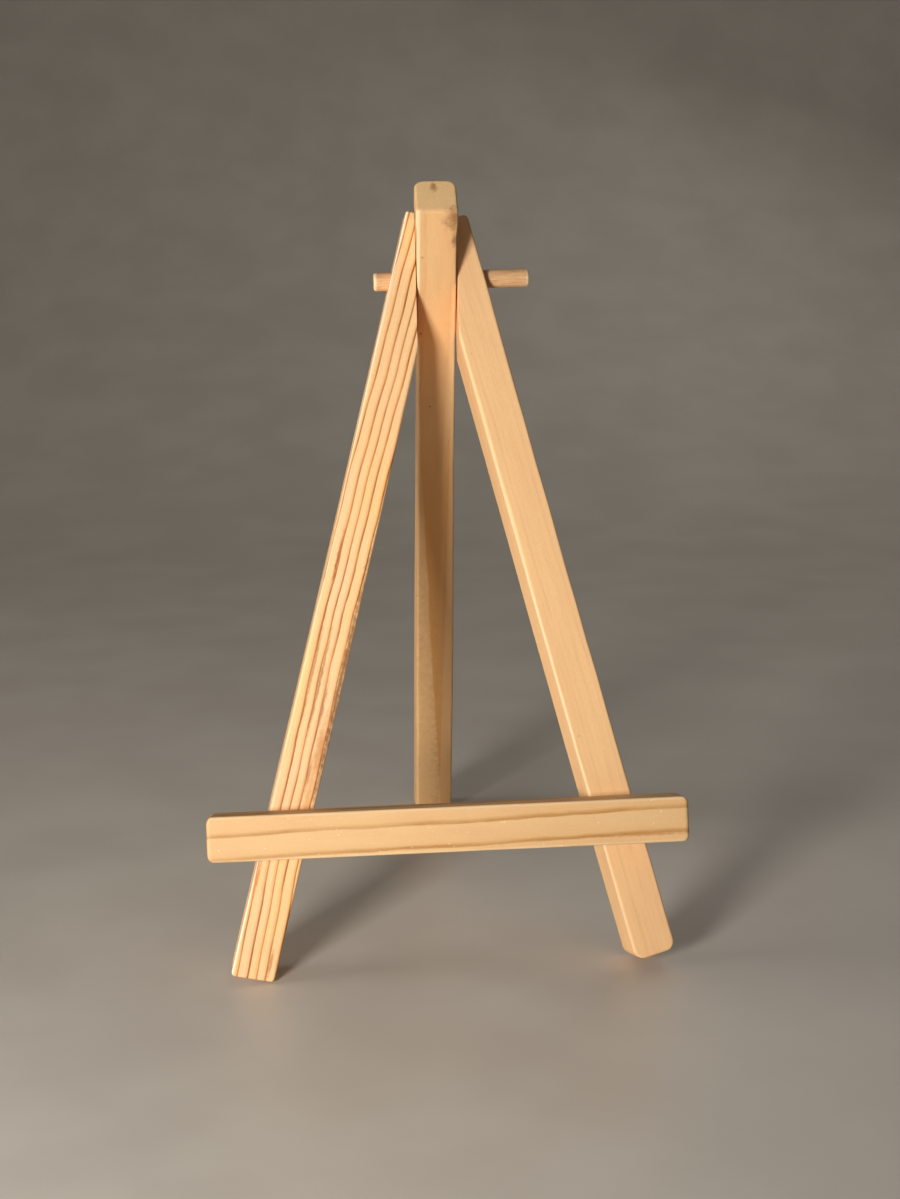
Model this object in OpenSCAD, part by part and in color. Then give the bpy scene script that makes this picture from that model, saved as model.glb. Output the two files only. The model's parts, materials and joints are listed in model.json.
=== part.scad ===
// Miniature wooden display easel: two mitred front legs, a crosswise ledge,
// a rear leg that swings on a dowel, and the two brads that hold the ledge.
//
// Frame: millimetres, +X to the easel's right seen from the front, -Y towards
// the viewer, +Z up, origin on the table under the middle of the bounding box.
// The front legs are drawn in their own plane, where x runs across, y runs
// from front to back and z runs up the leaning frame, and are then leaned back.

/* [Front legs] */
// Side of the square stick that each front leg is cut from
leg_stick = 8; // [7:0.5:10]
// Length of a front leg along its own axis
leg_length = 148; // [144:0.5:150]
// Angle of each front leg from the frame's centre line, in degrees
leg_splay = 14.4; // [12:0.1:14.8]
// Height up the frame at which the mitred inner faces start
mitre_start = 119.5; // [112:0.5:121]
// Gap between the two mitred faces, where the rear leg sits
head_gap = 8; // [7.8:0.1:9]

/* [Ledge] */
// Length of the ledge, from end to end
ledge_length = 90; // [82:1:130]
// Height of the ledge's front face
ledge_height = 8.5; // [7:0.5:14]
// Depth of the ledge from front to back
ledge_depth = 8; // [6:0.5:14]
// Height up the frame of the ledge's lower face
ledge_bottom = 23.5; // [15:0.5:50]

/* [Rear leg] */
// Width of the rear leg across the head gap
rear_width = 7.5; // [6:0.1:7.6]
// Depth of the rear leg from front to back
rear_depth = 8; // [7:0.5:9]
// Length of the rear leg above its pivot
rear_overhang = 19; // [12:0.5:30]
// Slope of the rear leg's sawn top, in degrees, lower at the front
rear_top_slope = 7; // [0:1:12]

/* [Stance] */
// Lean of the front frame from upright, in degrees
frame_lean = 12; // [8:0.5:20]
// Lean of the rear leg from upright when the easel stands, in degrees
rear_lean = 30; // [22:0.5:38]

/* [Pivot] */
// Height up the frame of the dowel's axis
pivot_height = 132.5; // [128:0.5:135]
// Diameter of the dowel
dowel_d = 3.5; // [3:0.1:4]
// Reach of the dowel to the left of the centre line
dowel_left = 12; // [10:0.5:25]
// Reach of the dowel to the right of the centre line
dowel_right = 18; // [10:0.5:25]
// Radial clearance of the dowel in the rear leg
pivot_clearance = 0.05; // [0.03:0.01:0.1]

/* [Ledge brads] */
// Diameter of a brad's shank
brad_d = 1.2; // [1:0.1:1.6]
// Diameter of a brad's head
brad_head_d = 2.4; // [2:0.1:3]
// Thickness of a brad's head, sunk flush in the back of the leg
brad_head_t = 0.6; // [0.4:0.1:1]
// Depth that a brad reaches into the ledge
brad_bite = 4.5; // [3:0.1:5]

/* [Softened edges] */
// Radius on the long edges of every stick
edge_round = 0.5; // [0.3:0.1:0.8]
// Radius on the corners of a stick's ends, seen from the front
end_round = 1.3; // [1:0.1:2]
// Chamfer on the dowel's ends
dowel_chamfer = 0.3; // [0.1:0.1:0.6]

/* [Hidden] */
$fn = 48;
cut_margin = 1;

pine_pale = "#e9c795";
pine_pink = "#e2b285";
pine_tan = "#e3b47d";
beech_tan = "#d3a377";
steel = "#a9abad";

// Front frame: where the legs' inner faces and centre lines run
foot_inner_x = head_gap / 2 + mitre_start * tan(leg_splay);
function leg_centre_x(height) = foot_inner_x - height * tan(leg_splay)
                                + leg_stick / (2 * cos(leg_splay));
brad_height = ledge_bottom + ledge_height / 2;
brad_tip_gap = 0.2;

// Table level in the frame's own coordinates: the lowest point of a foot is
// on the rounded inner corner, at the back of the leg
foot_slope_x = sin(leg_splay) * cos(frame_lean);
foot_slope_z = cos(leg_splay) * cos(frame_lean);
corner_rise = end_round * (foot_slope_x + foot_slope_z - norm([foot_slope_x, foot_slope_z]));
frame_lift = leg_stick * sin(frame_lean) - corner_rise;

// Pivot axis above the table, and how far the rear leg reaches down from it
pivot_y = pivot_height * sin(frame_lean) + leg_stick / 2 * cos(frame_lean);
pivot_z = pivot_height * cos(frame_lean) - leg_stick / 2 * sin(frame_lean) + frame_lift;
rear_reach = (pivot_z - rear_depth / 2 * sin(rear_lean)) / cos(rear_lean);
rear_length = rear_reach + rear_overhang;

// Depth of the standing easel, from the ledge's lower front edge to the back
// of the rear foot, which sets the origin midway
easel_front_y = ledge_bottom * sin(frame_lean) - ledge_depth * cos(frame_lean);
easel_back_y = pivot_y + rear_reach * sin(rear_lean) + rear_depth / 2 * cos(rear_lean);
centre_y = (easel_front_y + easel_back_y) / 2;

// Rectangle with quarter-round corners, centred on the origin
module rounded_rectangle(width, height, radius) {
    square([width - 2 * radius, height], center = true);
    square([width, height - 2 * radius], center = true);
    for (sx = [-1, 1], sy = [-1, 1])
        translate([sx * (width / 2 - radius), sy * (height / 2 - radius)])
            circle(radius);
}

// Stick standing on z = 0, with softened long edges and end corners
module stick(width, depth, length) {
    intersection() {
        linear_extrude(length) rounded_rectangle(width, depth, edge_round);
        translate([0, depth / 2, length / 2])
            rotate([90, 0, 0])
                linear_extrude(depth) rounded_rectangle(width, length, end_round);
    }
}

// Puts something drawn in the front frame's plane into the standing easel
module in_front_frame() {
    translate([0, -centre_y, frame_lift]) rotate([-frame_lean, 0, 0]) children();
}

// Brad shape along +Y from the back of the leg towards the front, plus a
// clearance at the tip when it is used as the hole
module brad_shape(tip_gap = 0) {
    rotate([90, 0, 0]) {
        cylinder(h = brad_head_t, d = brad_head_d);
        cylinder(h = leg_stick + brad_bite + tip_gap, d = brad_d);
    }
}

// Brad through the leg on one side, -1 for the left and 1 for the right
module placed_brad(side, tip_gap = 0) {
    translate([side * leg_centre_x(brad_height), leg_stick, brad_height]) brad_shape(tip_gap);
}

// Dowel axis, as a cylinder from one x to another
module crosswise_cylinder(from_x, to_x, diameter) {
    translate([from_x, 0, 0]) rotate([0, 90, 0]) cylinder(h = to_x - from_x, d = diameter);
}

// Splayed stick with its mitred head, dowel hole and brad hole
module front_leg(side) {
    in_front_frame() difference() {
        translate([side * foot_inner_x, leg_stick / 2, 0])
            rotate([0, -side * leg_splay, 0])
                translate([side * leg_stick / 2, 0, 0])
                    stick(leg_stick, leg_stick, leg_length);
        translate([side * (head_gap / 2 - leg_stick), 0, mitre_start])
            cube([2 * leg_stick, 4 * leg_stick, leg_length], center = true);
        translate([0, leg_stick / 2, pivot_height])
            crosswise_cylinder(-dowel_right, dowel_right, dowel_d);
        placed_brad(side);
    }
}

module left_front_leg() { color(pine_pale) front_leg(-1); }

module right_front_leg() { color(pine_pink) front_leg(1); }

// Crosswise bar that carries the picture, drilled from behind for its brads
module ledge() {
    color(pine_tan) in_front_frame() difference() {
        translate([0, -ledge_depth / 2, ledge_bottom + ledge_height / 2])
            rotate([0, 90, 0])
                translate([0, 0, -ledge_length / 2])
                    stick(ledge_height, ledge_depth, ledge_length);
        for (side = [-1, 1]) placed_brad(side, brad_tip_gap);
    }
}

module left_ledge_brad() { color(steel) in_front_frame() placed_brad(-1); }

module right_ledge_brad() { color(steel) in_front_frame() placed_brad(1); }

// Plain dowel, pressed into both front legs, off centre as it was pushed in
module pivot_dowel() {
    tip_d = dowel_d - 2 * dowel_chamfer;
    color(beech_tan) in_front_frame() translate([0, leg_stick / 2, pivot_height]) {
        crosswise_cylinder(dowel_chamfer - dowel_left, dowel_right - dowel_chamfer, dowel_d);
        for (end = [[-dowel_left, tip_d, dowel_d],
                    [dowel_right - dowel_chamfer, dowel_d, tip_d]])
            translate([end[0], 0, 0])
                rotate([0, 90, 0]) cylinder(h = dowel_chamfer, d1 = end[1], d2 = end[2]);
    }
}

// Swinging stick with its bore and sloping sawn top
module rear_leg() {
    color(pine_tan) translate([0, pivot_y - centre_y, pivot_z]) rotate([rear_lean, 0, 0])
        difference() {
            translate([0, 0, -rear_reach]) stick(rear_width, rear_depth, rear_length);
            translate([0, rear_depth / 2, rear_overhang])
                rotate([rear_top_slope, 0, 0])
                    translate([-rear_width, -2 * rear_depth, 0])
                        cube([2 * rear_width, 2 * rear_depth + cut_margin, rear_depth]);
            crosswise_cylinder(-rear_width, rear_width, dowel_d + 2 * pivot_clearance);
        }
}

left_front_leg();
right_front_leg();
ledge();
left_ledge_brad();
right_ledge_brad();
pivot_dowel();
rear_leg();
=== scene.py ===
"""Miniature wooden display easel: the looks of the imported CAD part, in metres, in its frame.

Every stick is swept ring by ring in its own axes: u across, v from front to back, w along it.
The same growth-ring field shapes the faint relief of the mesh and colours the wood.
"""

import json
import math

import bmesh
import bpy
from mathutils import Matrix, Vector, noise


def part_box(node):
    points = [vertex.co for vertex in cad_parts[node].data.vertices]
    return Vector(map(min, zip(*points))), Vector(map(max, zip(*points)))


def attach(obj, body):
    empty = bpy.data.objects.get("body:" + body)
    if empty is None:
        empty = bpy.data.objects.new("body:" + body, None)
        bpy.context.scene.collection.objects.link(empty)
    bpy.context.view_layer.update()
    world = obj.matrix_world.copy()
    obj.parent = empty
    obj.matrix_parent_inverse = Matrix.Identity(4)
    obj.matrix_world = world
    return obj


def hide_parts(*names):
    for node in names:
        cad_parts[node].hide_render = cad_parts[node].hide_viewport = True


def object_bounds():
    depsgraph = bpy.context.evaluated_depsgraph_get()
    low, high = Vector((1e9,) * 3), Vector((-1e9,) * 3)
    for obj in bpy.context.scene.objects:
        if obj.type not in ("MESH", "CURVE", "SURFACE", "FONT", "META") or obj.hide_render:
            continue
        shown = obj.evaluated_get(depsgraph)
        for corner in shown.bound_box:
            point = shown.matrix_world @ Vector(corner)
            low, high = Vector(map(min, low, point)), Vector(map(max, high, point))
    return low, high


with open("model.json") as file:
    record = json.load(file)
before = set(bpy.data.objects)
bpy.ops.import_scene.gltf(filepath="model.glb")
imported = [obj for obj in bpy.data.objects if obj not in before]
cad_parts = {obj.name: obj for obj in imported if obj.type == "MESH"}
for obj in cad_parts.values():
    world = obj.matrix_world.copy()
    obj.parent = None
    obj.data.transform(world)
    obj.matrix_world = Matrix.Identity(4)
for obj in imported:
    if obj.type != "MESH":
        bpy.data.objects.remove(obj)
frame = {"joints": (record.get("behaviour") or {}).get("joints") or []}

MM = 0.001
CAD_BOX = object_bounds()

# Sizes of the easel: as in the CAD part, but for the rear leg's sawn ends and the clearance
STICK = 8 * MM
LEG_LENGTH = 148 * MM
LEG_SPLAY = math.radians(14.4)
MITRE_START = 119.5 * MM
HEAD_GAP = 8 * MM
LEDGE_HEIGHT = 8.5 * MM
REAR_WIDTH = 7.5 * MM
REAR_OVERHANG = 19.5 * MM
REAR_TOP_SLOPE = math.radians(13.8)
REAR_FOOT_SLOPE = math.radians(29)
REAR_TOP_ROUNDING = 1.2 * MM
FRAME_LEAN = math.radians(12)
REAR_LEAN = math.radians(30)
PIVOT_HEIGHT = 132.5 * MM
EDGE_RADIUS = 0.5 * MM
DOWEL_RADIUS = 1.75 * MM
BORE_CLEARANCE = 0.06 * MM
BRAD_RADIUS = 0.6 * MM
BRAD_HEAD_RADIUS = 1.2 * MM

# Axes of the leaning front frame, and the pivot that places it
ACROSS = Vector((1, 0, 0))
BACKWARD = Vector((0, math.cos(FRAME_LEAN), -math.sin(FRAME_LEAN)))
UPWARD = Vector((0, math.sin(FRAME_LEAN), math.cos(FRAME_LEAN)))
PIVOT = Vector(frame["joints"][0]["pos_m"])
FRAME_ORIGIN = PIVOT - BACKWARD * STICK / 2 - UPWARD * PIVOT_HEIGHT

# How the real sticks differ from straight, square ones
RIGHT_LEG_TWIST = math.radians(8.8)
LEFT_LEG_TWIST = math.radians(3.4)
REAR_LEG_TWIST = math.radians(3)
REAR_LEG_SPREAD = 0.4 * MM
REAR_HEAD_SPREAD = 0.22 * MM
REAR_LEG_CANT = math.radians(0.85)
REAR_LEG_BOW = -0.2 * MM
FRONT_LEG_BOW = 0.22 * MM
RIGHT_LEG_SHORT = 0.8 * MM
RIGHT_FOOT_SHORT = 0.35 * MM
LEFT_FOOT_FRONT = 1.1 * MM
LEFT_FOOT_OUTER = 0.4 * MM
LEDGE_TILT = math.radians(0.65)
LEDGE_SHIFT = -0.8 * MM
LEDGE_EXTRA = 0.2 * MM
DOWEL_TILT = math.radians(0.85)
LEG_SPREAD = 0.25 * MM
LEG_TWIST_EASE = 0.22
MITRE_BEVEL = 0.1 * MM
TORN_DEPTH = 0.55 * MM
GRAIN_HEIGHT = 0.012 * MM
REAR_GRAIN_HEIGHT = 0.02 * MM
WAVE_HEIGHT = 0.03 * MM
SAW_HEIGHT = 0.015 * MM
TURNING_HEIGHT = 0.012 * MM

# Mesh density of a stick
SIDE_STEPS = 36
CORNER_STEPS = 5
RING_STEP = 1.2 * MM
END_STEPS = 9
CAP_LOOPS = (0.93, 0.8, 0.62, 0.42, 0.2)
ROUND_SEGMENTS = 56
BRAD_SEGMENTS = 32
DOWEL_RINGS = 60
SHARP_ANGLE = math.radians(32)


# ---------------------------------------------------------------- growth rings

# Ring field of each stick, in millimetres of its own axes. centre is the pith, seen along
# the stick, spacing the width of a ring, offset a shift in rings, waves the wander of the rings
# along the stick as (height, length, phase), bunch how unevenly wide the rings are, as
# (height, length), and ragged the fine wander as (share, extra share, from, to), with the extra
# share only from one height to the other.
FIGURES = {
    "left_leg": {
        "centre": (-62.0, 15.0), "spacing": 1.67, "offset": 0.36,
        "waves": ((1.37, 260.0, -2.9), (0.09, 37.0, 0.4), (0.05, 13.0, 2.0)),
        "bunch": (0.1, 4.4), "ragged": (0.1, 0.14, 30.0, 90.0),
    },
    "right_leg": {
        "centre": (58.0, -66.0), "spacing": 1.2, "offset": 0.3,
        "waves": ((0.5, 260.0, 0.8), (0.1, 52.0, 1.0), (0.04, 17.0, 0.0)),
        "bunch": (0.2, 5.2), "ragged": (0.08, 0.0, 0.0, 30.0),
    },
    "ledge": {
        "centre": (-75.0, 22.0), "spacing": 4.3, "offset": 0.78,
        "waves": ((1.3, 400.0, 3.14), (0.12, 60.0, 0.9), (0.04, 21.0, 0.0)),
        "bunch": (0.05, 9.0), "ragged": (0.07, 0.06, -30.0, 40.0),
    },
    "rear_leg": {
        "centre": (-34.0, -30.0), "spacing": 3.6, "offset": 0.55,
        "waves": ((0.7, 210.0, 0.3), (0.15, 64.0, 1.7), (0.05, 23.0, 0.0)),
        "bunch": (0.4, 8.0), "ragged": (0.08, 0.0, 0.0, 30.0),
    },
}


def ring_phase(figure, u, v, w):
    """Number of growth rings from the pith to a point in a stick, in metres of its axes."""
    u, v, w = u / MM, v / MM, w / MM
    for height, length, phase in figure["waves"]:
        u -= height * math.sin(math.tau * w / length + phase)
    reach = math.hypot(u - figure["centre"][0], v - figure["centre"][1])
    height, length = figure["bunch"]
    reach += height * math.sin(math.tau * reach / length)
    return reach / figure["spacing"] + figure["offset"]


def smooth_step(low, high, value):
    """0 below low, 1 above high, and a smooth rise between them."""
    t = min(max((value - low) / (high - low), 0.0), 1.0)
    return t * t * (3 - 2 * t)


def grain_relief(figure, height):
    """Relief of a stick's faces: late wood stands proud of early wood, on a wavy surface."""
    def relief(u, v, w):
        part = ring_phase(figure, u, v, w) % 1.0
        ridge = smooth_step(0.55, 0.85, part) * (1 - smooth_step(0.88, 1.0, part))
        wave = noise.noise(Vector((u / (3 * MM), v / (3 * MM), w / (14 * MM))))
        return height * ridge + WAVE_HEIGHT * wave
    return relief


# ---------------------------------------------------------------- swept sticks

def quarter_inset(radius, depth):
    """How far a quarter-round edge stands in from the side, at a depth below the end."""
    if depth >= radius:
        return 0.0
    return radius - math.sqrt(radius ** 2 - (radius - depth) ** 2)


def sanded_edge(corner, w):
    """Radius of one long edge at w: it wanders as sanding left it."""
    return EDGE_RADIUS * (1 + 0.3 * noise.noise(Vector((corner * 7.3, 0.5, w / (9 * MM)))))


def section_points(left, right, depth, radii):
    """Outline of a section as (u, v, u normal, v normal), anticlockwise from the front left."""
    front, back = -depth / 2, depth / 2
    corners = ((right, front, -90), (right, back, 0), (left, back, 90), (left, front, 180))
    points = []
    for index, (u, v, start) in enumerate(corners):
        radius = min(radii[index], 0.49 * (right - left), 0.49 * depth)
        centre_u = u - math.copysign(radius, u - (left + right) / 2)
        centre_v = v - math.copysign(radius, v)
        for step in range(CORNER_STEPS + 1):
            angle = math.radians(start + 90 * step / CORNER_STEPS)
            nu, nv = math.cos(angle), math.sin(angle)
            points.append((centre_u + radius * nu, centre_v + radius * nv, nu, nv))
    outline = []
    for index, point in enumerate(points):
        outline.append(point)
        if index % (CORNER_STEPS + 1) == CORNER_STEPS:
            following = points[(index + 1) % len(points)]
            for step in range(1, SIDE_STEPS):
                t = step / SIDE_STEPS
                outline.append(tuple(a + (b - a) * t for a, b in zip(point, following)))
    return outline


def stations(low, high, foot_round, top_round):
    """Heights of a stick's rings: close together round its ends, even between them."""
    foot = [low + foot_round * (k / END_STEPS) ** 2 for k in range(END_STEPS + 1)]
    top = [high - top_round * (k / END_STEPS) ** 2 for k in range(END_STEPS, -1, -1)]
    count = max(2, round((top[0] - foot[-1]) / RING_STEP))
    middle = [foot[-1] + (top[0] - foot[-1]) * k / count for k in range(1, count)]
    return foot + middle + top


def sweep_stick(name, low, high, sides, depth, relief, warp, edge=sanded_edge,
                rounds=(1.3 * MM, 1.3 * MM), soft=0.45 * MM):
    """Stick from w = low to high. sides(w) gives its left and right limits, warp bends a point,
    edge(corner, w) is the radius of a long edge, rounds are those of the end corners seen from
    the front, and soft that of the other edges of its ends."""
    mesh = bmesh.new()
    rings = []
    for w in stations(low, high, *rounds):
        inset_u = quarter_inset(rounds[0], w - low) + quarter_inset(rounds[1], high - w)
        inset_v = quarter_inset(soft, w - low) + quarter_inset(soft, high - w)
        left, right = sides(w)
        left, right = left + inset_u, max(right - inset_u, left + inset_u + 0.2 * MM)
        radii = [edge(corner, w) for corner in range(4)]
        ring = []
        for u, v, nu, nv in section_points(left, right, depth - 2 * inset_v, radii):
            lift = relief(u, v, w)
            ring.append(mesh.verts.new(warp(Vector((u + nu * lift, v + nv * lift, w)))))
        rings.append(ring)
    for lower, upper in zip(rings, rings[1:]):
        bridge(mesh, lower, upper)
    close_end(mesh, rings[0], facing_up=False)
    close_end(mesh, rings[-1], facing_up=True)
    return finish_mesh(mesh, name)


def bridge(mesh, lower, upper):
    """Band of faces between two rings with as many points."""
    count = len(lower)
    for k in range(count):
        following = (k + 1) % count
        mesh.faces.new((lower[k], lower[following], upper[following], upper[k]))


def close_end(mesh, ring, facing_up):
    """Closes a ring with smaller and smaller loops, each a little uneven as a sawn end is."""
    centre = sum((vertex.co for vertex in ring), Vector()) / len(ring)
    outer = ring
    for share in CAP_LOOPS:
        loop = []
        for vertex in ring:
            point = centre.lerp(vertex.co, share)
            point.z += SAW_HEIGHT * noise.noise(point / (0.8 * MM))
            loop.append(mesh.verts.new(point))
        bridge(mesh, *((outer, loop) if facing_up else (loop, outer)))
        outer = loop
    middle = mesh.verts.new(centre)
    for k in range(len(outer)):
        pair = (outer[k], outer[(k + 1) % len(outer)])
        mesh.faces.new((*pair, middle) if facing_up else (*reversed(pair), middle))


def finish_mesh(mesh, name):
    """Makes an object of a bmesh, smooth but for its sharp edges."""
    bmesh.ops.recalc_face_normals(mesh, faces=mesh.faces)
    data = bpy.data.meshes.new(name)
    mesh.to_mesh(data)
    mesh.free()
    shade(data)
    piece = bpy.data.objects.new(name, data)
    bpy.context.scene.collection.objects.link(piece)
    return piece


def shade(data):
    """Smooth faces, with an edge kept sharp where the surface turns by more than SHARP_ANGLE."""
    data.shade_smooth()
    data.set_sharp_from_angle(angle=SHARP_ANGLE)


def place(piece, origin, u_axis, v_axis, w_axis):
    """Puts a piece built in its own u, v and w into the row frame."""
    columns = Matrix((u_axis, v_axis, w_axis)).transposed().to_4x4()
    piece.matrix_world = Matrix.Translation(origin) @ columns


def turned(point, angle):
    """The point turned about the w axis."""
    u = point.x * math.cos(angle) - point.y * math.sin(angle)
    v = point.x * math.sin(angle) + point.y * math.cos(angle)
    return Vector((u, v, point.z))


# ---------------------------------------------------------------- round pieces

def lathe(name, profile, segments=ROUND_SEGMENTS):
    """Turned piece round the w axis: profile is a list of (w, radius), from end to end."""
    mesh = bmesh.new()
    rings = []
    for w, radius in profile:
        ring = []
        for k in range(segments):
            angle = math.tau * k / segments
            ring.append(mesh.verts.new((radius * math.cos(angle), radius * math.sin(angle), w)))
        rings.append(ring)
    for lower, upper in zip(rings, rings[1:]):
        bridge(mesh, lower, upper)
    close_end(mesh, rings[0], facing_up=False)
    close_end(mesh, rings[-1], facing_up=True)
    return finish_mesh(mesh, name)


def carve(piece, cutter):
    """Cuts the cutter out of the piece, and removes it."""
    cut = piece.modifiers.new("cut", "BOOLEAN")
    cut.operation = "DIFFERENCE"
    cut.solver = "EXACT"
    cut.object = cutter
    bpy.context.view_layer.update()
    seen = piece.evaluated_get(bpy.context.evaluated_depsgraph_get())
    whole = piece.data
    piece.data = bpy.data.meshes.new_from_object(seen)
    piece.data.name = piece.name
    piece.modifiers.clear()
    bpy.data.meshes.remove(whole)
    bpy.data.objects.remove(cutter)
    shade(piece.data)


def level_axes(tilt):
    """Axes of a piece that runs across the frame, with its right end up by the tilt."""
    along = ACROSS * math.cos(tilt) + UPWARD * math.sin(tilt)
    return BACKWARD.cross(along), BACKWARD, along


def bore_cutter(radius, half_length):
    """Cutter for a bore on the dowel's axis."""
    cutter = lathe("bore_cutter", [(-half_length, radius), (half_length, radius)])
    place(cutter, PIVOT, *level_axes(DOWEL_TILT))
    return cutter


def brad_profile(spread, length):
    """Wire nail from its slightly domed head to its tip, fatter by spread when it is a cutter."""
    head, shank = BRAD_HEAD_RADIUS + spread, BRAD_RADIUS + spread
    dome = [(0.0, 0.35 * head), (0.02 * MM, 0.7 * head), (0.07 * MM, 0.93 * head),
            (0.15 * MM, head)]
    neck = [(0.42 * MM, head), (0.55 * MM, 0.8 * head), (0.75 * MM, shank + 0.1 * MM),
            (1.1 * MM, shank)]
    tip = [(length - 1.6 * MM, shank), (length - 0.5 * MM, 0.45 * shank), (length, 0.12 * shank)]
    return dome + neck + tip


# ---------------------------------------------------------------- the easel's pieces

def leg_inner_reach():
    """Distance from the frame's centre line to a leg's inner corner, at the foot."""
    return HEAD_GAP / 2 + MITRE_START * math.tan(LEG_SPLAY)


def leg_axes(side):
    """u, v and w axes of a front leg; side is -1 for the left and 1 for the right."""
    across = ACROSS * math.cos(LEG_SPLAY) + UPWARD * side * math.sin(LEG_SPLAY)
    along = UPWARD * math.cos(LEG_SPLAY) - ACROSS * side * math.sin(LEG_SPLAY)
    return across, BACKWARD, along


def leg_foot(side):
    """Centre of a leg's lower end."""
    inner = FRAME_ORIGIN + ACROSS * side * leg_inner_reach() + BACKWARD * STICK / 2
    return inner + leg_axes(side)[0] * side * STICK / 2


def leg_sides(side):
    """Limits of a leg's section, a little wider towards the foot on its inner side."""
    def sides(w):
        spread = LEG_SPREAD * (1 - smooth_step(20 * MM, 110 * MM, w))
        inner = STICK / 2 + spread
        return (-inner, STICK / 2) if side > 0 else (-STICK / 2, inner)
    return sides


def leg_warp(side, twist):
    """Twist of a leg about its own length, and its bow towards the right or the left."""
    def warp(point):
        share = min(max(point.z / LEG_LENGTH, 0.0), 1.0)
        bent = turned(point, twist * (1 - LEG_TWIST_EASE * share))
        bent.x -= side * FRONT_LEG_BOW * math.sin(math.pi * share)
        if side < 0:
            foot = 1 - smooth_step(0.0, 7 * MM, point.z)
            forward, outward = 0.5 - point.y / STICK, 0.5 - point.x / STICK
            bent.z -= foot * forward * (LEFT_FOOT_FRONT + LEFT_FOOT_OUTER * outward)
        return bent
    return warp


def mitre(leg, side):
    """Saws the inner side of a leg's head flat, parallel to the rear leg, and breaks its edges."""
    mesh = bmesh.new()
    mesh.from_mesh(leg.data)
    mesh.transform(leg.matrix_world)
    everything = mesh.verts[:] + mesh.edges[:] + mesh.faces[:]
    plane = ACROSS * side * HEAD_GAP / 2
    cut = bmesh.ops.bisect_plane(mesh, geom=everything, dist=1e-7, plane_co=plane,
                                 plane_no=-ACROSS * side, clear_outer=True)
    rim = [item for item in cut["geom_cut"] if isinstance(item, bmesh.types.BMEdge)]
    bmesh.ops.holes_fill(mesh, edges=rim, sides=0)
    bmesh.ops.bevel(mesh, geom=rim, offset=MITRE_BEVEL, segments=2, profile=0.5,
                    affect="EDGES", clamp_overlap=True)
    mesh.transform(leg.matrix_world.inverted())
    bmesh.ops.recalc_face_normals(mesh, faces=mesh.faces)
    mesh.to_mesh(leg.data)
    mesh.free()
    shade(leg.data)


def frayed_edge(corner, w):
    """Sanded edge, but with torn fibres on the inner front edge in a stretch above the ledge."""
    radius = sanded_edge(corner, w)
    if corner != 0:
        return radius
    torn = smooth_step(32 * MM, 42 * MM, w) * (1 - smooth_step(68 * MM, 84 * MM, w))
    chips = noise.noise(Vector((3.1, 4.7, w / (1.3 * MM))))
    chips += noise.noise(Vector((9.1, 2.7, w / (4 * MM))))
    return radius + TORN_DEPTH * torn * abs(chips)


def rear_edge(corner, w):
    """Sanded edge that is well rounded at the back of the top."""
    rounding = REAR_TOP_ROUNDING * (1.0 if corner in (1, 2) else 0.15)
    return sanded_edge(corner, w) + rounding * smooth_step(13 * MM, 18.5 * MM, w)


def front_leg(name, side, figure, twist, edge, rounds, ends):
    """Front leg with its mitred head and its bores, from ends[0] to ends[1] along its axis."""
    leg = sweep_stick(name, ends[0], ends[1], leg_sides(side), STICK,
                      grain_relief(FIGURES[figure], GRAIN_HEIGHT), leg_warp(side, twist),
                      edge=edge, rounds=rounds)
    place(leg, leg_foot(side), *leg_axes(side))
    mitre(leg, side)
    carve(leg, bore_cutter(DOWEL_RADIUS + BORE_CLEARANCE / 3, 25 * MM))
    carve(leg, placed_brad("brad_cutter", side, BORE_CLEARANCE))
    return leg


def make_ledge():
    """Ledge across the fronts of both legs, bored from behind for its brads."""
    low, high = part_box("ledge")
    half = (high.x - low.x) / 2 + LEDGE_EXTRA
    def sides(w):
        return -LEDGE_HEIGHT / 2, LEDGE_HEIGHT / 2
    def warp(point):
        return point
    ledge = sweep_stick("ledge_bar", -half, half, sides, STICK,
                        grain_relief(FIGURES["ledge"], GRAIN_HEIGHT), warp,
                        rounds=(1.35 * MM, 1.35 * MM), soft=0.7 * MM)
    place(ledge, (low + high) / 2 + ACROSS * LEDGE_SHIFT, *level_axes(LEDGE_TILT))
    for side in (-1, 1):
        carve(ledge, placed_brad("brad_cutter", side, BORE_CLEARANCE))
    return ledge


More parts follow.
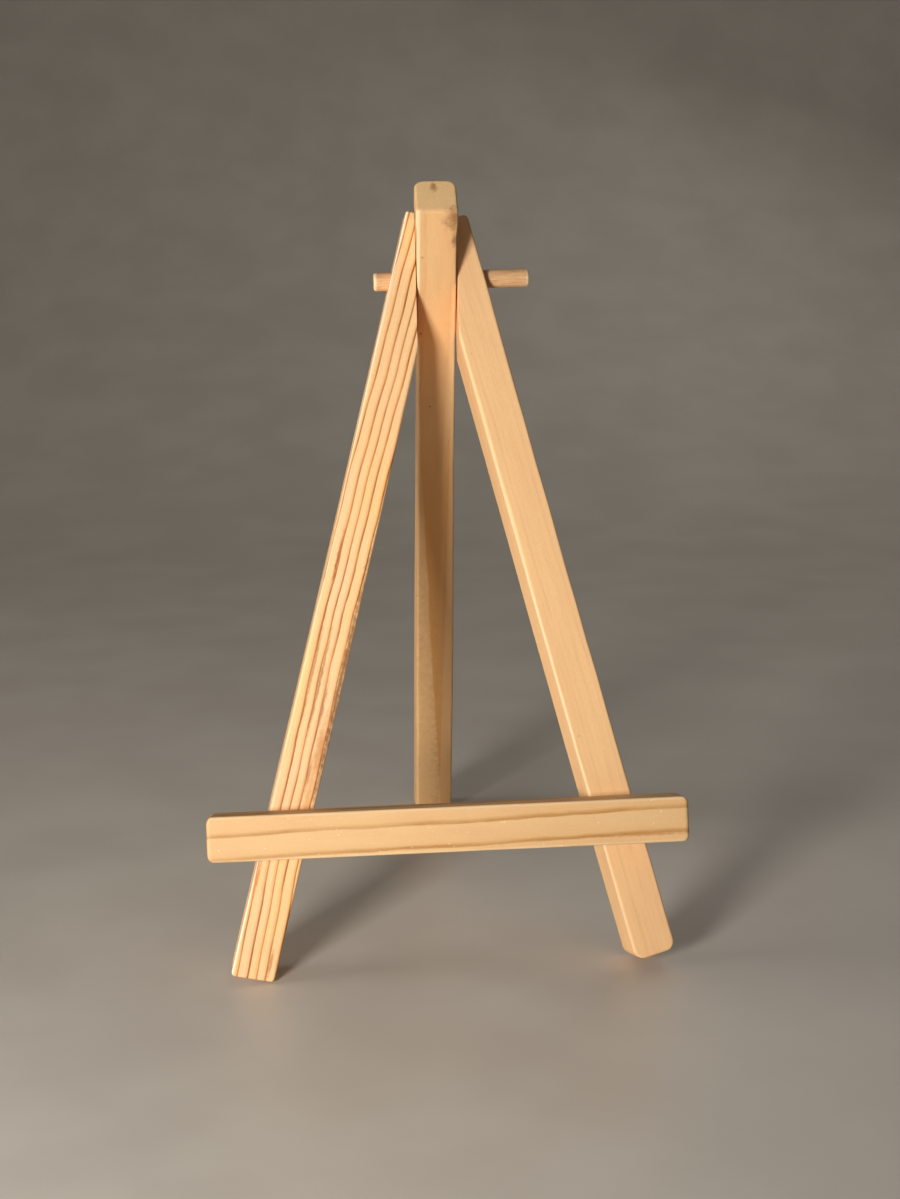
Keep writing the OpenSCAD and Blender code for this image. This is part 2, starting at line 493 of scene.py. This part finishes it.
def make_rear_leg():
    """Rear leg, in its own axes from the pivot, with the sawn top lower at the front and the
    foot sawn nearly flat to the table."""
    v_axis = Vector((0, math.cos(REAR_LEAN), math.sin(REAR_LEAN)))
    w_axis = Vector((0, -math.sin(REAR_LEAN), math.cos(REAR_LEAN)))
    reach = (PIVOT.z - STICK / 2 * math.sin(REAR_LEAN)) / math.cos(REAR_LEAN)
    def sides(w):
        half = REAR_WIDTH / 2 + REAR_HEAD_SPREAD * smooth_step(12 * MM, 15 * MM, w)
        half += REAR_LEG_SPREAD * smooth_step(30 * MM, 110 * MM, -w)
        return -half, half
    def warp(point):
        below = max(0.0, -point.z) / reach
        top = smooth_step(REAR_OVERHANG - 6 * MM, REAR_OVERHANG, point.z)
        bent = turned(point, REAR_LEG_TWIST * below ** 1.5)
        bent.x += REAR_LEG_BOW * below ** 2 - point.z * math.tan(REAR_LEG_CANT)
        bent.z -= top * (STICK / 2 - point.y) * math.tan(REAR_TOP_SLOPE)
        foot = 1 - smooth_step(-reach, 8 * MM - reach, point.z)
        bent.z -= foot * (STICK / 2 + point.y) * math.tan(REAR_FOOT_SLOPE)
        return bent
    leg = sweep_stick("rear_leg_stick", -reach, REAR_OVERHANG, sides, STICK,
                      grain_relief(FIGURES["rear_leg"], REAR_GRAIN_HEIGHT), warp,
                      edge=rear_edge, rounds=(0.7 * MM, 0.5 * MM), soft=0.5 * MM)
    place(leg, PIVOT, ACROSS, v_axis, w_axis)
    carve(leg, bore_cutter(DOWEL_RADIUS + 2 * BORE_CLEARANCE, 12 * MM))
    return leg


def make_dowel():
    """Dowel with a broken edge at each end, and the slight waves that turning leaves."""
    low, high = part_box("pivot_dowel")
    left, right = low.x, high.x
    profile = [(left, DOWEL_RADIUS - 0.3 * MM), (left + 0.1 * MM, DOWEL_RADIUS - 0.16 * MM),
               (left + 0.28 * MM, DOWEL_RADIUS - 0.04 * MM)]
    for k in range(DOWEL_RINGS + 1):
        w = left + 0.5 * MM + (right - left - 1.0 * MM) * k / DOWEL_RINGS
        wave = TURNING_HEIGHT * noise.noise(Vector((w / (1.3 * MM), 0, 0)))
        profile.append((w, DOWEL_RADIUS + wave))
    profile += [(right - 0.28 * MM, DOWEL_RADIUS - 0.04 * MM),
                (right - 0.1 * MM, DOWEL_RADIUS - 0.16 * MM), (right, DOWEL_RADIUS - 0.3 * MM)]
    dowel = lathe("dowel_pin", profile)
    place(dowel, PIVOT, *level_axes(DOWEL_TILT))
    return dowel


def placed_brad(name, side, spread=0.0):
    """Brad driven from the back of a leg through it into the ledge."""
    low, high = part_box("left_ledge_brad" if side < 0 else "right_ledge_brad")
    centre = (low + high) / 2
    length = (high.y - low.y) / math.cos(FRAME_LEAN)
    brad = lathe(name, brad_profile(spread, length), BRAD_SEGMENTS)
    start = centre + BACKWARD * length / 2 + BACKWARD * spread
    place(brad, start, ACROSS, BACKWARD.cross(ACROSS) * -1, BACKWARD * -1)
    return brad


# ---------------------------------------------------------------- materials

WOOD_SPECULAR = 0.35

def tone(code):
    """Linear colour of an sRGB code such as e8bc88."""
    values = [int(code[k:k + 2], 16) / 255 for k in (0, 2, 4)]
    return [v / 12.92 if v <= 0.04045 else ((v + 0.055) / 1.055) ** 2.4 for v in values] + [1.0]


class Graph:
    """Node tree of one material, with the few kinds of node that these materials use."""

    def __init__(self, name):
        self.material = bpy.data.materials.new(name)
        self.material.use_nodes = True
        self.tree = self.material.node_tree
        self.shader = self.tree.nodes["Principled BSDF"]

    def node(self, kind, inputs, output=0, **settings):
        made = self.tree.nodes.new(kind)
        for key, value in settings.items():
            setattr(made, key, value)
        for key, value in inputs.items():
            self.feed(made.inputs[key], value)
        return made.outputs[output]

    def feed(self, socket, value):
        if isinstance(value, bpy.types.NodeSocket):
            self.tree.links.new(value, socket)
        else:
            socket.default_value = value

    def math(self, operation, *values):
        return self.node("ShaderNodeMath", dict(enumerate(values)), operation=operation)

    def smooth(self, value, low, high, start=0.0, end=1.0):
        """start below low, end above high, and a smooth change between them."""
        inputs = {"Value": value, "From Min": low, "From Max": high, "To Min": start, "To Max": end}
        return self.node("ShaderNodeMapRange", inputs, interpolation_type="SMOOTHSTEP")

    def blend(self, factor, first, second, mode="MIX"):
        inputs = {0: factor, 6: first, 7: second}
        return self.node("ShaderNodeMix", inputs, 2, data_type="RGBA", blend_type=mode)

    def stretched(self, position, scale):
        inputs = {0: position, 1: scale}
        return self.node("ShaderNodeVectorMath", inputs, operation="MULTIPLY")

    def noise(self, position, scale, detail=2.0, roughness=0.5):
        """Noise from 0 to 1, with its own scale along each axis, per millimetre."""
        inputs = {"Vector": self.stretched(position, scale), "Scale": 1.0, "Detail": detail,
                  "Roughness": roughness}
        return self.node("ShaderNodeTexNoise", inputs)

    def millimetres(self):
        """Place in the piece's own axes, in millimetres."""
        coordinates = self.node("ShaderNodeTexCoord", {}, "Object")
        return self.stretched(coordinates, (1 / MM,) * 3)

    def parts(self, vector):
        made = self.tree.nodes.new("ShaderNodeSeparateXYZ")
        self.feed(made.inputs[0], vector)
        return made.outputs

    def bump(self, height, distance, strength=1.0):
        inputs = {"Height": height, "Distance": distance, "Strength": strength}
        self.feed(self.shader.inputs["Normal"], self.node("ShaderNodeBump", inputs))


def ring_nodes(graph, figure, position):
    """The same ring field as ring_phase, as nodes."""
    u, v, w = graph.parts(position)
    for height, length, phase in figure["waves"]:
        angle = graph.math("MULTIPLY_ADD", w, math.tau / length, phase)
        u = graph.math("MULTIPLY_ADD", graph.math("SINE", angle), -height, u)
    squares = []
    for value, middle in zip((u, v), figure["centre"]):
        away = graph.math("SUBTRACT", value, middle)
        squares.append(graph.math("MULTIPLY", away, away))
    reach = graph.math("SQRT", graph.math("ADD", *squares))
    height, length = figure["bunch"]
    swing = graph.math("SINE", graph.math("MULTIPLY", reach, math.tau / length))
    reach = graph.math("MULTIPLY_ADD", swing, height, reach)
    phase = graph.math("MULTIPLY_ADD", reach, 1 / figure["spacing"], figure["offset"])
    return graph.math("ADD", phase, ragged_lines(graph, figure["ragged"], position, w))


def ragged_lines(graph, ragged, position, w):
    """Fine wander of the rings, in rings: its share all along, and more in a rough stretch."""
    share, extra, low, high = ragged
    inside = graph.smooth(w, low, low + 12.0)
    inside = graph.math("MULTIPLY", inside, graph.smooth(w, high - 12.0, high, 1.0, 0.0))
    strength = graph.math("MULTIPLY_ADD", inside, extra, share)
    wander = graph.math("SUBTRACT", graph.noise(position, (0.5, 0.5, 0.16), detail=4.0), 0.5)
    return graph.math("MULTIPLY", wander, strength)


def mark_mask(graph, position, centre, size):
    """1 at a mark's centre, fading to 0 with a ragged edge at its size along each axis."""
    inputs = {"Vector": position, "Scale": 0.9, "Detail": 3.0}
    ragged = graph.node("ShaderNodeTexNoise", inputs, "Color")
    inputs = {0: ragged, 1: (0.5, 0.5, 0.5)}
    wander = graph.node("ShaderNodeVectorMath", inputs, operation="SUBTRACT")
    wander = graph.stretched(wander, tuple(1.1 * s for s in size))
    moved = graph.node("ShaderNodeVectorMath", {0: position, 1: wander}, operation="ADD")
    inputs = {0: moved, 1: centre}
    away = graph.node("ShaderNodeVectorMath", inputs, operation="SUBTRACT")
    scaled = graph.stretched(away, tuple(1 / s for s in size))
    distance = graph.node("ShaderNodeVectorMath", {0: scaled}, "Value", operation="LENGTH")
    return graph.smooth(distance, 0.15, 1.0, 1.0, 0.0)


def pine(name, stick):
    """Sanded pine of one stick, after its growth rings and its row in WOODS."""
    wood = WOODS[stick]
    graph = Graph(name)
    position = graph.millimetres()
    phase = ring_nodes(graph, FIGURES[stick], position)
    part = graph.math("FRACT", phase)
    fall = graph.smooth(part, 0.935, 1.0, 1.0, 0.0)
    halo = graph.math("MULTIPLY", graph.smooth(part, 0.45, 0.93), fall)
    late_wood = graph.math("MULTIPLY", graph.smooth(part, *wood["line"]), fall)
    colour = wood_colour(graph, position, phase, halo, late_wood, wood)
    colour = end_grain(graph, position, colour, *wood["ends"])
    for centre, size, code, share in wood["marks"]:
        mask = graph.math("MULTIPLY", mark_mask(graph, position, centre, size), share)
        colour = graph.blend(mask, colour, tone(code))
    if wood["amber"]:
        colour = amber_side(graph, position, colour, *wood["amber"])
    # Painted highlight on the long edges, mostly on the left, towards the key light.
    colour = painted_edge_highlights(graph, position, colour, wood)
    if wood["fleck"]:
        colour = dust_flecks(graph, position, colour, wood["fleck"])
    graph.feed(graph.shader.inputs["Base Color"], colour)
    wood_surface(graph, position, late_wood)
    return graph.material


def wood_colour(graph, position, phase, halo, late_wood, wood):
    """Early wood with late lines, each ring as dark as its own, broken up along the fibres."""
    ring = graph.math("FLOOR", phase)
    w = graph.parts(position)[2]
    place_in_ring = graph.node("ShaderNodeCombineXYZ", {0: graph.math("MULTIPLY", ring, 3.7), 2: w})
    ring_tone = graph.noise(place_in_ring, (1.0, 1.0, 0.06), detail=4.0, roughness=0.6)
    dark = graph.smooth(ring_tone, 0.36, 0.64, *wood["strength"])
    fibres = graph.noise(position, (6.0, 6.0, 0.25), detail=3.0, roughness=0.6)
    clouds = graph.noise(position, (0.22, 0.22, 0.035), detail=2.0)
    broken = graph.smooth(fibres, 0.25, 0.6, 0.55, 1.0)
    early = graph.blend(graph.smooth(clouds, 0.35, 0.65), tone(wood["early"]), tone(wood["early_2"]))
    colour = graph.blend(graph.math("MULTIPLY", halo, wood["halo_share"]), early, tone(wood["halo"]))
    factor = graph.math("MULTIPLY", graph.math("MULTIPLY", late_wood, dark), broken)
    colour = graph.blend(factor, colour, tone(wood["late"]))
    return mottled(graph, position, colour, fibres, wood["mottle"])


def mottled(graph, position, colour, fibres, amount):
    """Slightly lighter and darker fibres, and the fine speckle of sanded pores."""
    speckle = graph.noise(position, (3.2, 3.2, 1.6), detail=2.0, roughness=0.6)
    fibre_shade = graph.smooth(fibres, 0.25, 0.75, 1 - amount, 1 + amount)
    speckle_shade = graph.smooth(speckle, 0.3, 0.7, 1 - 0.7 * amount, 1 + 0.7 * amount)
    both = graph.math("MULTIPLY", fibre_shade, speckle_shade)
    grey = graph.node("ShaderNodeCombineColor", {0: both, 1: both, 2: both})
    return graph.blend(1.0, colour, grey, "MULTIPLY")


def end_grain(graph, position, colour, code, share):
    """Porous wood on the sawn ends, in the colour and share given; the rear leg's pale colour is
    painted light on its top end.
    """
    normal = graph.node("ShaderNodeTexCoord", {}, "Normal")
    facing = graph.math("ABSOLUTE", graph.parts(normal)[2])
    pores = graph.noise(position, (5.0, 5.0, 5.0), detail=2.0)
    mask = graph.math("MULTIPLY", graph.smooth(facing, 0.72, 0.95, 0.0, share),
                      graph.smooth(pores, 0.3, 0.7, 0.5, 1.0))
    return graph.blend(mask, colour, tone(code))


def amber_side(graph, position, colour, slope, offset, code, share):
    """Amber wood to the right of a line that slants down the front, darkest next to it."""
    u, _, w = graph.parts(position)
    wander = graph.noise(position, (0.3, 0.3, 0.05), detail=3.0)
    past = graph.math("ADD", graph.math("MULTIPLY_ADD", w, slope, u), offset)
    past = graph.math("MULTIPLY_ADD", wander, 1.2, past)
    fading = graph.smooth(past, 0.8, 4.5, share, 0.6 * share)
    mask = graph.math("MULTIPLY", graph.smooth(past, 0.5, 0.85), fading)
    mask = graph.math("MULTIPLY", mask, graph.smooth(w, -60.0, -25.0, 1.0, 0.0))
    return graph.blend(mask, colour, tone(code))


def painted_edge_highlights(graph, position, colour, wood):
    """Painted highlight: long edges paler, as where light catches their rounding, by the shares
    given for the left and the right side.
    """
    u, v, _ = graph.parts(position)
    masks = []
    for value, limit in zip((u, v), wood["half"]):
        masks.append(graph.smooth(graph.math("ABSOLUTE", value), limit - 0.62, limit - 0.2))
    both = graph.math("MULTIPLY", *masks)
    left, right = wood["highlight_shares"]
    share = graph.smooth(u, -1.0, 1.0, left, right)
    return graph.blend(graph.math("MULTIPLY", both, share), colour, tone(wood["rim"]))


def dust_flecks(graph, position, colour, share):
    """Tiny pale flecks of sanding dust."""
    inputs = {"Vector": graph.stretched(position, (1.1, 1.1, 0.7)), "Scale": 1.0}
    distance = graph.node("ShaderNodeTexVoronoi", inputs, "Distance")
    dots = graph.smooth(distance, 0.06, 0.13, 1.0, 0.0)
    patches = graph.smooth(graph.noise(position, (0.6, 0.6, 0.4)), 0.5, 0.62)
    mask = graph.math("MULTIPLY", graph.math("MULTIPLY", dots, patches), share)
    return graph.blend(mask, colour, tone("fff0d0"))


def wood_surface(graph, position, late_wood):
    """Dry, sanded surface: late wood a bit glossier, fine fibres and scratches in the bump."""
    fibres = graph.noise(position, (9.0, 9.0, 0.35), detail=3.0, roughness=0.65)
    roughness = graph.smooth(fibres, 0.2, 0.8, 0.52, 0.66)
    roughness = graph.math("MULTIPLY_ADD", late_wood, -0.08, roughness)
    graph.feed(graph.shader.inputs["Roughness"], roughness)
    graph.shader.inputs["Specular IOR Level"].default_value = WOOD_SPECULAR
    scratches = graph.noise(position, (1.2, 1.2, 9.0), detail=2.0)
    height = graph.math("MULTIPLY_ADD", scratches, 0.35, fibres)
    graph.bump(height, 0.05 * MM, 0.6)


def dowel_wood():
    """Hardwood dowel: tan, with short dark flecks along it, and paler broken edges whose paleness is
    partly painted highlight.
    """
    graph = Graph("dowel_hardwood")
    position = graph.millimetres()
    low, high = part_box("pivot_dowel")
    fibres = graph.noise(position, (4.0, 4.0, 0.3), detail=3.0, roughness=0.6)
    flecks = graph.noise(position, (7.0, 7.0, 1.1), detail=1.0)
    colour = graph.blend(graph.smooth(fibres, 0.3, 0.72), tone("e6b884"), tone("cd9866"))
    colour = graph.blend(graph.smooth(flecks, 0.62, 0.72, 0.0, 0.45), colour, tone("a87446"))
    from_middle = graph.math("SUBTRACT", graph.parts(position)[2], (low.x + high.x) / 2 / MM)
    reach = (high.x - low.x) / 2 / MM
    # Broken edges at the ends paler: partly their own colour, partly painted highlight.
    rim = graph.smooth(graph.math("ABSOLUTE", from_middle), reach - 0.75, reach - 0.25, 0.0, 0.7)
    colour = graph.blend(rim, colour, tone("fbdcae"))
    colour = end_grain(graph, position, colour, "c08c5c", 0.8)
    graph.feed(graph.shader.inputs["Base Color"], colour)
    graph.feed(graph.shader.inputs["Roughness"], graph.smooth(fibres, 0.2, 0.8, 0.48, 0.62))
    graph.shader.inputs["Specular IOR Level"].default_value = WOOD_SPECULAR
    graph.bump(fibres, 0.05 * MM, 0.6)
    return graph.material


def brad_steel():
    """Bright wire, dulled and lightly scratched on the head."""
    graph = Graph("brad_wire")
    position = graph.millimetres()
    scratches = graph.noise(position, (14.0, 2.0, 2.0), detail=3.0)
    spots = graph.noise(position, (2.2, 2.2, 2.2), detail=3.0)
    colour = graph.blend(graph.smooth(spots, 0.45, 0.7), tone("b9bbbd"), tone("8a867f"))
    graph.feed(graph.shader.inputs["Base Color"], colour)
    graph.shader.inputs["Metallic"].default_value = 1.0
    graph.feed(graph.shader.inputs["Roughness"], graph.smooth(scratches, 0.3, 0.7, 0.28, 0.5))
    graph.bump(scratches, 0.02 * MM, 0.5)
    return graph.material


def floor_paint():
    """Pale satin table top with a faint mottle."""
    graph = Graph("pale_floor")
    position = graph.millimetres()
    mottle = graph.noise(position, (0.03, 0.03, 0.03), detail=4.0)
    colour = graph.blend(graph.smooth(mottle, 0.3, 0.7), tone("cac0b2"), tone("d1c8ba"))
    graph.feed(graph.shader.inputs["Base Color"], colour)
    graph.feed(graph.shader.inputs["Roughness"], graph.smooth(mottle, 0.3, 0.7, 0.4, 0.48))
    return graph.material


# Looks of each stick. early and early_2 are the pale wood, halo the tint before a line, late the
# line's colour, line where in a ring late wood starts and is darkest, and strength how much of it
# the palest and the darkest ring show. mottle is the contrast of the fibres, ends the colour and
# share of the sawn ends, whose pale colour on the rear leg is painted light on its top end, rim and
# highlight_shares the colour and the left and right shares of the painted highlight on the long
# edges, half the half width and half depth, and fleck the share of dust. amber is the (slope,
# offset, colour, share) of amber wood, marks a list of (centre, size, colour, share), all in
# millimetres; the large pale mark low on the rear leg is painted light.
WOODS = {
    "left_leg": {
        "early": "f5c692", "early_2": "f3c486", "halo": "ea8e2c", "halo_share": 0.6,
        "late": "8c4a04", "line": (0.73, 0.89), "strength": (0.5, 1.0), "mottle": 0.045,
        "ends": ("a8602a", 0.25), "rim": "fff4de", "highlight_shares": (1.0, 0.0),
        "half": (4.0, 4.0), "fleck": 0.0,
        "amber": None,
        "marks": (
            ((-1.75, -4.0, 80.0), (0.38, 1.2, 8.0), "a85c1c", 0.95),
            ((-1.6, -4.0, 58.0), (0.4, 1.5, 14.0), "a05a20", 0.6),
            ((0.1, -4.0, 56.0), (0.45, 1.5, 17.0), "a05a20", 0.7),
            ((1.8, -4.0, 52.0), (0.5, 1.5, 7.0), "9a5218", 0.6),
            ((2.9, -4.0, 44.0), (1.1, 2.0, 10.0), "b66a0c", 0.55),
            ((2.0, -4.0, 39.0), (0.5, 1.5, 5.0), "a8622a", 0.6),
            ((2.8, -4.0, 34.0), (0.8, 2.0, 6.0), "c07418", 0.4),
            ((3.97, -3.9, 56.0), (0.65, 0.9, 36.0), "7a4414", 0.85),
            ((-3.1, -4.0, 18.0), (0.4, 1.5, 6.5), "d07626", 0.85),
            ((3.0, -4.0, 2.5), (0.5, 1.5, 4.0), "b8702e", 0.7),
        ),
    },
    "right_leg": {
        "early": "f8c68c", "early_2": "f5c189", "halo": "ecb47c", "halo_share": 0.14,
        "late": "dca674", "line": (0.6, 0.93), "strength": (0.0, 0.3), "mottle": 0.022,
        "ends": ("dca674", 0.25), "rim": "fad8a8", "highlight_shares": (0.8, 0.3),
        "half": (4.0, 4.0), "fleck": 0.0,
        "amber": None,
        "marks": (
            ((-2.6, -4.0, 45.0), (0.5, 0.8, 0.25), "8c5c38", 0.6),
            ((-2.3, -4.0, 121.0), (0.25, 0.8, 0.4), "8c5c38", 0.5),
            ((1.2, -4.0, 6.0), (1.6, 2.0, 9.0), "f4c48c", 0.5),
        ),
    },
    "ledge": {
        "early": "e0b47d", "early_2": "ddae78", "halo": "d49c58", "halo_share": 0.3,
        "late": "b07a38", "line": (0.74, 0.93), "strength": (0.55, 0.95), "mottle": 0.025,
        "ends": ("c48a48", 0.25), "rim": "fbdcae", "highlight_shares": (0.45, 0.45),
        "half": (4.25, 4.0), "fleck": 0.7,
        "amber": None,
        "marks": (
            ((3.0, -4.0, -4.0), (0.35, 1.0, 9.0), "b4702e", 0.6),
            ((2.5, -4.0, 36.0), (0.5, 1.0, 16.0), "b4702e", 0.6),
        ),
    },
    "rear_leg": {
        "early": "ecba80", "early_2": "e8b47c", "halo": "dca468", "halo_share": 0.15,
        "late": "c48a50", "line": (0.6, 0.92), "strength": (0.0, 0.3), "mottle": 0.03,
        # ends: pale at full share, painted light on the top end face, which the low key light leaves
        # dim.
        "ends": ("ffd296", 1.0), "rim": "f6d4a4", "highlight_shares": (0.8, 0.3),
        "half": (3.75, 4.0), "fleck": 0.0,
        "amber": (0.0592, 5.0, "dc923e", 0.6),
        "marks": (
            ((-0.6, 2.2, 19.3), (0.9, 1.7, 2.4), "a87442", 0.8),
            ((3.2, -3.9, 15.6), (2.7, 2.2, 4.0), "94683c", 0.85),
            ((3.4, -3.9, 11.2), (1.1, 1.2, 2.0), "84603c", 0.8),
            ((-2.9, -4.0, 7.5), (0.5, 0.8, 0.5), "a07044", 0.5),
            ((-2.9, -4.0, -9.5), (0.3, 0.6, 0.35), "3a2416", 0.9),
            ((-0.9, -4.0, -27.0), (0.25, 0.6, 0.3), "3a2416", 0.9),
            ((-2.8, -4.0, -78.0), (0.25, 0.6, 0.3), "3a2416", 0.9),
            ((3.5, -4.0, -62.0), (0.7, 3.0, 50.0), "c8842f", 0.35),
            # Painted light: the lower part paler, standing in for light that falls off towards the
            # foot.
            ((-1.0, -4.0, -150.0), (7.0, 5.0, 90.0), "ffcd8e", 0.85),
        ),
    },
}


# ---------------------------------------------------------------- the assembly

def add(piece, node, body, material):
    """Makes the piece stand for its CAD node."""
    piece.data.materials.clear()
    piece.data.materials.append(material)
    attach(piece, body)
    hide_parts(node)


def build_easel():
    """Makes all seven pieces, each with its body, its CAD node and its material."""
    left = front_leg("left_leg_stick", side=-1, figure="left_leg", twist=LEFT_LEG_TWIST,
                     edge=frayed_edge, rounds=(0.7 * MM, 0.4 * MM), ends=(0.0, LEG_LENGTH))
    add(left, "left_front_leg", "front_frame", pine("left_leg_pine", "left_leg"))
    right = front_leg("right_leg_stick", side=1, figure="right_leg", twist=RIGHT_LEG_TWIST,
                      edge=sanded_edge, rounds=(2.0 * MM, 1.0 * MM),
                      ends=(RIGHT_FOOT_SHORT, LEG_LENGTH - RIGHT_LEG_SHORT))
    add(right, "right_front_leg", "front_frame",
        pine("right_leg_pine", "right_leg"))
    add(make_ledge(), "ledge", "front_frame", pine("ledge_pine", "ledge"))
    add(make_rear_leg(), "rear_leg", "rear_leg", pine("rear_leg_pine", "rear_leg"))
    add(make_dowel(), "pivot_dowel", "front_frame", dowel_wood())
    steel = brad_steel()
    for side, word in ((-1, "left"), (1, "right")):
        brad = placed_brad(f"{word}_brad", side)
        add(brad, f"{word}_ledge_brad", "front_frame", steel)


# ---------------------------------------------------------------- stage, light, camera

# Soft boxes: where each stands as seen from the middle of the easel, in degrees and metres,
# its side in metres, its power in watts and how far its light fans out, in degrees
LIGHTS = {
    "key_light": {"azimuth": -27, "elevation": 4.4, "distance": 0.421, "size": 0.085,
                  "power": 0.492, "spread": 100},
    "side_fill": {"azimuth": -85, "elevation": 12, "distance": 0.6, "size": 0.25, "power": 1.0},
    "back_fill": {"azimuth": 150, "elevation": 35, "distance": 0.8, "size": 0.5, "power": 0.5},
}
SURROUND_COLOUR = (1.0, 0.95, 0.9, 1.0)
SURROUND_STRENGTH = 0.112

# Camera: what it aims at, from the pivot, and where it stands as seen from there
AIM = Vector((-0.12, -32.04, -56.39)) * MM
CAMERA_AZIMUTH = -3.8
CAMERA_ELEVATION = 11.736
CAMERA_DISTANCE = 347.4 * MM
CAMERA_ROLL = math.radians(-0.734)
CAMERA_LENS = 57.05
CAMERA_SENSOR_WIDTH = 36

# Floor and backdrop, in metres: from front to back, with a bend before the upright backdrop
STAGE_WIDTH = 12.0
STAGE_FRONT = -6.0
STAGE_BACK = 1.0
STAGE_BEND = 0.6
STAGE_HEIGHT = 3.0
BEND_STEPS = 16


def build_stage():
    """Pale floor that curves up into a backdrop well behind the easel."""
    start = STAGE_BACK - STAGE_BEND
    profile = [(STAGE_FRONT, 0.0), (start, 0.0)]
    for k in range(1, BEND_STEPS + 1):
        angle = math.radians(90 * k / BEND_STEPS)
        profile.append((start + STAGE_BEND * math.sin(angle),
                        STAGE_BEND - STAGE_BEND * math.cos(angle)))
    profile.append((STAGE_BACK, STAGE_HEIGHT))
    mesh = bmesh.new()
    half = STAGE_WIDTH / 2
    rows = [[mesh.verts.new((x, y, z)) for x in (-half, half)] for y, z in profile]
    for lower, upper in zip(rows, rows[1:]):
        mesh.faces.new((lower[0], lower[1], upper[1], upper[0]))
    floor = finish_mesh(mesh, "floor_and_backdrop")
    floor.data.materials.append(floor_paint())


def direction(azimuth, elevation):
    """Unit vector towards a light or the camera; azimuth 0 is the front and positive the right."""
    a, e = math.radians(azimuth), math.radians(elevation)
    return Vector((math.sin(a) * math.cos(e), -math.cos(a) * math.cos(e), math.sin(e)))


def soft_light(name, azimuth, elevation, distance, size, power, spread=180):
    """Square soft box that faces the middle of the easel."""
    data = bpy.data.lights.new(name, "AREA")
    data.shape = "SQUARE"
    data.size = size
    data.energy = power
    data.spread = math.radians(spread)
    lamp = bpy.data.objects.new(name, data)
    lamp.visible_camera = False
    bpy.context.scene.collection.objects.link(lamp)
    towards = direction(azimuth, elevation)
    lamp.location = (CAD_BOX[0] + CAD_BOX[1]) / 2 + towards * distance
    lamp.rotation_mode = "QUATERNION"
    lamp.rotation_quaternion = towards.to_track_quat("Z", "Y")


def build_lights():
    """Low key light from the front left, two weak fills and a dim surround."""
    for name, setting in LIGHTS.items():
        soft_light(name, **setting)
    world = bpy.data.worlds.new("soft_surround")
    world.use_nodes = True
    background = world.node_tree.nodes["Background"]
    background.inputs["Color"].default_value = SURROUND_COLOUR
    background.inputs["Strength"].default_value = SURROUND_STRENGTH
    bpy.context.scene.world = world
    bpy.context.scene.view_settings.view_transform = "Standard"


def build_camera():
    """Camera at the viewing angle of the photograph, a little from the left and above."""
    data = bpy.data.cameras.new("main_camera")
    data.sensor_width = CAMERA_SENSOR_WIDTH
    data.lens = CAMERA_LENS
    camera = bpy.data.objects.new("main_camera", data)
    bpy.context.scene.collection.objects.link(camera)
    towards = direction(CAMERA_AZIMUTH, CAMERA_ELEVATION)
    camera.location = PIVOT + AIM + towards * CAMERA_DISTANCE
    camera.rotation_mode = "QUATERNION"
    roll = Matrix.Rotation(CAMERA_ROLL, 3, "Z").to_quaternion()
    camera.rotation_quaternion = towards.to_track_quat("Z", "Y") @ roll
    bpy.context.scene.camera = camera


build_easel()
build_stage()
build_lights()
build_camera()
